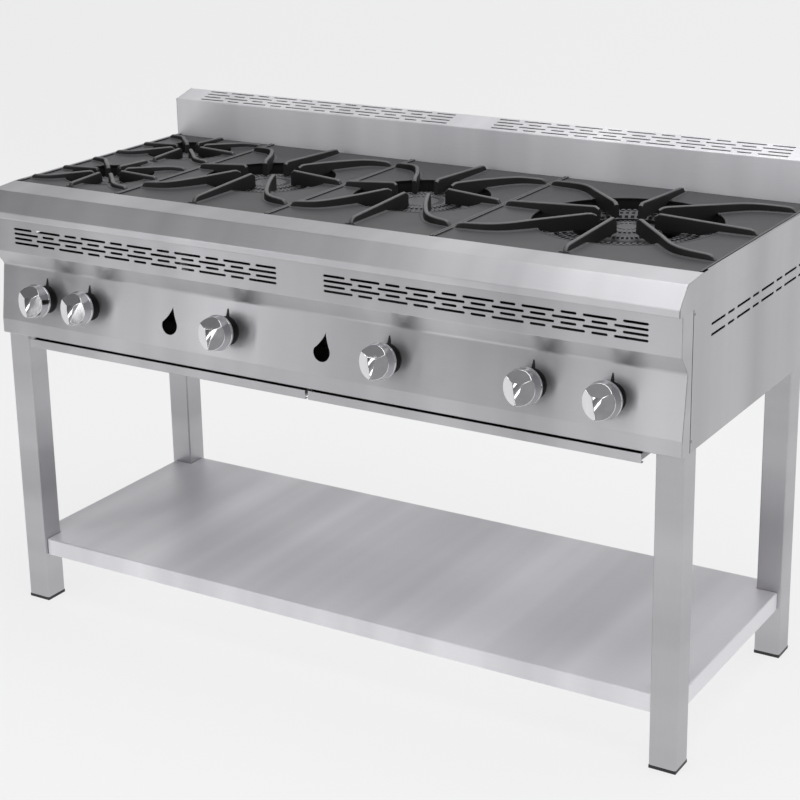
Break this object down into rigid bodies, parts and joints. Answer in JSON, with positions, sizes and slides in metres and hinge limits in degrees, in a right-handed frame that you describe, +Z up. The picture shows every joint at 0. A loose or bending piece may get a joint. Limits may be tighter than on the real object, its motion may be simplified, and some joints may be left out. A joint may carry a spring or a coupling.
{
  "type": "commercial gas range",
  "caption": "Open-stand stainless gas range with cast grates over round burners, a sloping knob panel, slotted vents, splashback, pull-out crumb trays and an under-shelf.",
  "frame": {"origin": "on the floor, under the middle of the bounding box", "axes": "+X to the right seen from the front, +Y to the back, +Z up; the knobs face -Y"},
  "size_m": [1.45, 0.6954, 0.962],
  "materials": {
    "steel": "satin brushed stainless sheet and tube",
    "chrome": "polished",
    "cast_iron": "matt grey casting with rubbed edges",
    "brass": "machined, dulled",
    "pipe_steel": "plain drawn pipe",
    "cap_plastic": "moulded black"
  },
  "bodies": {
    "body": {"back_panel": "steel", "burner_large_centre": "cast_iron", "burner_large_ring": "cast_iron", "burner_middle_left": "cast_iron", "burner_middle_right": "cast_iron", "burner_small_front": "cast_iron", "burner_small_rear": "cast_iron", "burner_support_front": "steel", "burner_support_rear": "steel", "frame_rail_front": "steel", "frame_rail_left": "steel", "frame_rail_rear": "steel", "frame_rail_right": "steel", "front_fascia": "steel", "gas_inlet": "pipe_steel", "gas_manifold": "pipe_steel", "gas_valve_1": "brass", "gas_valve_2": "brass", "gas_valve_3": "brass", "gas_valve_4": "brass", "gas_valve_5": "brass", "gas_valve_6": "brass", "grate_bearer_1": "steel", "grate_bearer_2": "steel", "grate_bearer_3": "steel", "leg_cap_front_left": "cap_plastic", "leg_cap_front_right": "cap_plastic", "leg_cap_rear_left": "cap_plastic", "leg_cap_rear_right": "cap_plastic", "leg_front_left": "steel", "leg_front_right": "steel", "leg_rear_left": "steel", "leg_rear_right": "steel", "shelf": "steel", "side_panel_left": "steel", "side_panel_right": "steel", "splashback": "steel", "top_front_rail": "steel", "top_side_rail_left": "steel", "top_side_rail_right": "steel", "tray_runner_centre": "steel"},
    "knob_1": {"knob_1": "chrome", "valve_stem_1": "brass"},
    "knob_2": {"knob_2": "chrome", "valve_stem_2": "brass"},
    "knob_3": {"knob_3": "chrome", "valve_stem_3": "brass"},
    "knob_4": {"knob_4": "chrome", "valve_stem_4": "brass"},
    "knob_5": {"knob_5": "chrome", "valve_stem_5": "brass"},
    "knob_6": {"knob_6": "chrome", "valve_stem_6": "brass"},
    "crumb_tray_left": {"crumb_tray_left": "steel"},
    "crumb_tray_right": {"crumb_tray_right": "steel"},
    "grate_small_double": {"grate_small_double": "cast_iron"},
    "grate_middle_left": {"grate_middle_left": "cast_iron"},
    "grate_middle_right": {"grate_middle_right": "cast_iron"},
    "grate_large": {"grate_large": "cast_iron"}
  },
  "joints": [
    {"name": "knob_1_turn", "type": "hinge", "parent": "body", "child": "knob_1", "pos_m": [-0.61, -0.28724, 0.657], "axis": [0, -0.9908, 0.1351], "range_deg": [0, 90]},
    {"name": "knob_2_turn", "type": "hinge", "parent": "body", "child": "knob_2", "pos_m": [-0.504, -0.28724, 0.657], "axis": [0, -0.9908, 0.1351], "range_deg": [0, 90]},
    {"name": "knob_3_turn", "type": "hinge", "parent": "body", "child": "knob_3", "pos_m": [-0.177, -0.28724, 0.657], "axis": [0, -0.9908, 0.1351], "range_deg": [0, 90]},
    {"name": "knob_4_turn", "type": "hinge", "parent": "body", "child": "knob_4", "pos_m": [0.169, -0.28724, 0.657], "axis": [0, -0.9908, 0.1351], "range_deg": [0, 90]},
    {"name": "knob_5_turn", "type": "hinge", "parent": "body", "child": "knob_5", "pos_m": [0.45, -0.28724, 0.657], "axis": [0, -0.9908, 0.1351], "range_deg": [0, 90]},
    {"name": "knob_6_turn", "type": "hinge", "parent": "body", "child": "knob_6", "pos_m": [0.594, -0.28724, 0.657], "axis": [0, -0.9908, 0.1351], "range_deg": [0, 90]},
    {"name": "crumb_tray_left_slide", "type": "slide", "parent": "body", "child": "crumb_tray_left", "axis": [0, -1, 0], "range_m": [0, 0.42]},
    {"name": "crumb_tray_right_slide", "type": "slide", "parent": "body", "child": "crumb_tray_right", "axis": [0, -1, 0], "range_m": [0, 0.42]},
    {"name": "grate_small_double_lift", "type": "slide", "parent": "body", "child": "grate_small_double", "axis": [0, 0, 1], "range_m": [0, 0.12]},
    {"name": "grate_middle_left_lift", "type": "slide", "parent": "body", "child": "grate_middle_left", "axis": [0, 0, 1], "range_m": [0, 0.12]},
    {"name": "grate_middle_right_lift", "type": "slide", "parent": "body", "child": "grate_middle_right", "axis": [0, 0, 1], "range_m": [0, 0.12]},
    {"name": "grate_large_lift", "type": "slide", "parent": "body", "child": "grate_large", "axis": [0, 0, 1], "range_m": [0, 0.12]}
  ]
}
